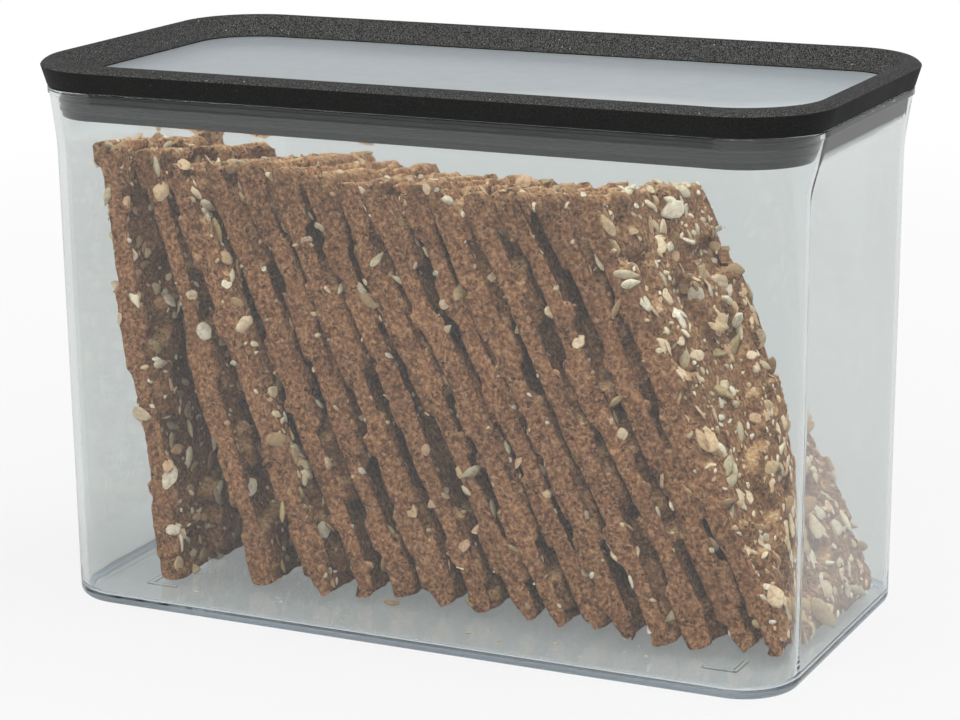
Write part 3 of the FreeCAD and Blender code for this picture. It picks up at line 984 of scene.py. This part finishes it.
# each area: how many grains, how far apart in millimetres, how deep they sink, the largest scale
grainPlan = {
    "openFace": (680, 1.35, 0.58, 1.2), "gapFace": (230, 1.7, 0.5, 1.0), "sideStrip": (48, 2.4, 0.5, 0.85),
    "sideCut": (2, 16.0, 0.72, 0.9), "topCut": (8, 4.0, 0.62, 0.9), "smallest": 0.5,
    "gapSlices": 3, "gapWidth": 30.0, "stripWidth": 6.0,
    "onFace": 0.35, "onCut": 0.7, "onTop": 0.6, "seed": 7,
}


# the outer faces of the row are full of seeds; in the gaps between slices they lie near the edges
def seedSlice(grains, number, count, points, faces, axes):
    plan = grainPlan
    rng = np.random.default_rng(plan["seed"] + number)
    normals = meshNormals(points, faces)
    local = points @ axes.T
    low, high = local.min(0), local.max(0)
    facing = normals @ axes[0]
    fromSide = np.minimum(local[:, 1] - low[1], high[1] - local[:, 1])
    names = list(grainMix)
    shares = np.array([grainMix[name] for name in names])
    areas = []
    for direction in (-1, 1):
        side = facing * direction > plan["onFace"]
        isOpen = (direction > 0 and number == count - 1) or (direction < 0 and number == 0)
        if isOpen:
            areas.append((side, *plan["openFace"]))
        elif direction > 0 and number < plan["gapSlices"]:
            nearFront = local[:, 1] - low[1] < plan["gapWidth"] * mm
            areas.append((side & nearFront, *plan["gapFace"]))
        else:
            strip = (fromSide < plan["stripWidth"] * mm) | (high[2] - local[:, 2] < plan["stripWidth"] * mm)
            areas.append((side & strip, *plan["sideStrip"]))
    sideways = normals @ axes[1]
    areas += [(sideways < -plan["onCut"], *plan["sideCut"]), (sideways > plan["onCut"], *plan["sideCut"]),
              (normals @ axes[2] > plan["onTop"], *plan["topCut"])]
    for chosen, amount, apart, sink, largest in areas:
        for spot in pickSpots(rng, points, chosen, amount, apart):
            kind = names[rng.choice(len(names), p=shares / shares.sum())]
            grains.put(rng, kind, points[spot], normals[spot], rng.uniform(plan["smallest"], largest), sink)


def addValues(mesh, name, values):
    layer = mesh.attributes.new(name, "FLOAT", "POINT")
    layer.data.foreach_set("value", values.astype(np.float32))


def addTints(mesh, colours):
    layer = mesh.attributes.new("grainTint", "FLOAT_COLOR", "POINT")
    layer.data.foreach_set("color", np.asarray(colours, np.float32).ravel())


def buildSlice(number, node, count):
    points, faces, axes = sliceSlab(node)
    points, broad = roughen(points, faces, axes, number)
    grains = Grains()
    seedSlice(grains, number, count, points, faces, axes)
    allPoints = np.concatenate([points] + grains.points)
    allFaces = faces + [tuple(len(points) + index for index in face) for face in grains.faces]
    crispbread = makeObject("crispbread%02d" % (number + 1), allPoints, allFaces,
                            [crumbMaterial, grainMaterial], grainLook["sharpAngle"])
    mesh = crispbread.data
    slots = np.zeros(len(mesh.polygons), np.int32)
    slots[len(faces):] = 1
    mesh.polygons.foreach_set("material_index", slots)
    # mask by how much a face looks up, for the lighter top colours: painted light from above
    upward = smoothStep(sliceShape["paintedLightFrom"], sliceShape["paintedLightTo"], meshNormals(points, faces) @ axes[2])
    addValues(mesh, "crust", np.concatenate((broad, np.zeros(grains.count))))
    addValues(mesh, "paintedTopLight", np.concatenate((upward, np.zeros(grains.count))))
    addTints(mesh, np.concatenate((np.ones((len(points), 4)), np.array(grains.tints).reshape(-1, 4))))
    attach(crispbread, "box")
    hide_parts(node.name)


sliceNodes = [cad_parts[name] for name in sorted(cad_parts) if name.startswith("cracker_")]
for number, node in enumerate(sliceNodes):
    buildSlice(number, node, len(sliceNodes))
print("stage 4:", len(sliceNodes), "slices of crispbread")


# loose bits on the floor of the box, in millimetres from its middle
looseBits = {
    "floor": 2.62, "crumbScales": (0.3, 0.7), "seed": 5,
    "seeds": [("pumpkin", -14.1, -21.8, 0.75)],
    "crumbs": [(53.8, -25.2), (55.8, -22.5), (50.8, -30.4), (34.9, -31.7), (58.0, -31.0), (12.7, -33.8),
               (-40.3, -31.4), (-63.5, -33.7), (72.0, -30.0), (22.0, -36.0), (-20.0, -37.0), (44.0, -38.0)],
}


def makeLooseBits():
    rng = np.random.default_rng(looseBits["seed"])
    grains = Grains()
    up = np.array((0.0, 0.0, 1.0))
    for kind, x, y, scale in looseBits["seeds"]:
        grains.put(rng, kind, np.array((x, y, looseBits["floor"])) * mm, up, scale, 0.0, (0.0, 1.0, 0.0), 0.0)
    for x, y in looseBits["crumbs"]:
        spot = np.array((x, y, looseBits["floor"])) * mm
        grains.put(rng, "bit", spot, up, rng.uniform(*looseBits["crumbScales"]), 0.0, None, 0.0)
    bits = makeObject("looseCrumbs", np.concatenate(grains.points), grains.faces, [grainMaterial],
                      grainLook["sharpAngle"])
    addTints(bits.data, grains.tints)
    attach(bits, "box")


makeLooseBits()
print("stage 5: loose crumbs")


# pale floor, soft light and the camera; the floor glows for what looks at it, less near the box,
# so that it comes out white with a faint shadow
stageLook = {
    "floorColour": (0.44, 0.445, 0.445), "floorSize": 9.0, "floorGap": 0.00003, "near": 0.15, "far": 0.7,
    "lift": {"Is Camera Ray": (0.82, 1.0), "Is Transmission Ray": (0.2, 0.68), "Is Glossy Ray": (0.35, 0.55)},
    "world": (0.68, 0.70, 0.715), "worldStrength": 0.6,
    "lamps": [
        ("keyPanel", (0.35, -1.05, 1.15), 0.8, 10.0, (1.0, 0.97, 0.93)),
        ("leftPanel", (-1.05, -0.75, 0.85), 0.8, 6.0, (1.0, 0.98, 0.96)),
        ("topPanel", (0.25, 0.1, 1.35), 0.8, 17.0, (1.0, 1.0, 1.0)),
    ],
    "aim": (0.0, 0.0, 0.06), "sensor": 36.0, "clip": (0.01, 50.0),
    "cameraAt": (303.9, -637.9, 242.8), "azimuth": 25.46, "elevation": 14.37, "roll": -0.54, "lens": 109.75,
}


def makeFloor():
    half = stageLook["floorSize"] / 2
    low = -stageLook["floorGap"]
    corners = [(-half, -half, low), (half, -half, low), (half, half, low), (-half, half, low)]
    floor = makeObject("paleFloor", corners, [(0, 1, 2, 3)], [])
    material, tree = newMaterial("paleFloor")
    matt = addNode(tree, "ShaderNodeBsdfDiffuse", {"Color": (*stageLook["floorColour"], 1.0)})
    white = addNode(tree, "ShaderNodeEmission", {"Color": (1.0, 1.0, 1.0, 1.0), "Strength": 1.0})
    path = addNode(tree, "ShaderNodeLightPath")
    distance = addNode(tree, "ShaderNodeVectorMath", operation="LENGTH")
    tree.links.new(addNode(tree, "ShaderNodeNewGeometry").outputs["Position"], distance.inputs[0])
    lifted = 0.0
    for ray, (nearLift, farLift) in stageLook["lift"].items():
        reach = addNode(tree, "ShaderNodeMapRange", {
            "From Min": stageLook["near"], "From Max": stageLook["far"],
            "To Min": nearLift, "To Max": farLift})
        tree.links.new(distance.outputs["Value"], reach.inputs["Value"])
        share = mathNode(tree, "MULTIPLY", path.outputs[ray], reach.outputs["Result"])
        lifted = mathNode(tree, "MAXIMUM", share, lifted)
    endWithEither(tree, lifted, matt, white)
    floor.data.materials.append(material)


def makeLight():
    world = bpy.data.worlds.new("softRoom")
    scene.world = world
    world.use_nodes = True
    back = world.node_tree.nodes["Background"]
    back.inputs["Color"].default_value = (*stageLook["world"], 1.0)
    back.inputs["Strength"].default_value = stageLook["worldStrength"]
    for name, place, size, power, colour in stageLook["lamps"]:
        data = bpy.data.lights.new(name, "AREA")
        data.shape = "SQUARE"
        data.size = size
        data.energy = power
        data.color = colour
        lamp = bpy.data.objects.new(name, data)
        lamp.location = place
        lamp.rotation_euler = (Vector(stageLook["aim"]) - lamp.location).to_track_quat("-Z", "Y").to_euler()
        scene.collection.objects.link(lamp)


def makeCamera():
    azimuth, elevation, roll = (math.radians(stageLook[key]) for key in ("azimuth", "elevation", "roll"))
    back = Vector((math.sin(azimuth) * math.cos(elevation), -math.cos(azimuth) * math.cos(elevation),
                   math.sin(elevation)))
    right = Vector((math.cos(azimuth), math.sin(azimuth), 0))
    up = back.cross(right)
    side = right * math.cos(roll) + up * math.sin(roll)
    head = up * math.cos(roll) - right * math.sin(roll)
    data = bpy.data.cameras.new("photoCamera")
    data.sensor_fit = "HORIZONTAL"
    data.sensor_width = stageLook["sensor"]
    data.lens = stageLook["lens"]
    data.clip_start, data.clip_end = stageLook["clip"]
    camera = bpy.data.objects.new("photoCamera", data)
    turn = Matrix((side, head, back)).transposed().to_4x4()
    camera.matrix_world = Matrix.Translation(Vector(stageLook["cameraAt"]) * mm) @ turn
    scene.collection.objects.link(camera)
    scene.camera = camera


makeFloor()
makeLight()
makeCamera()
print("stage 6: floor, light and camera")

bpy.context.view_layer.update()
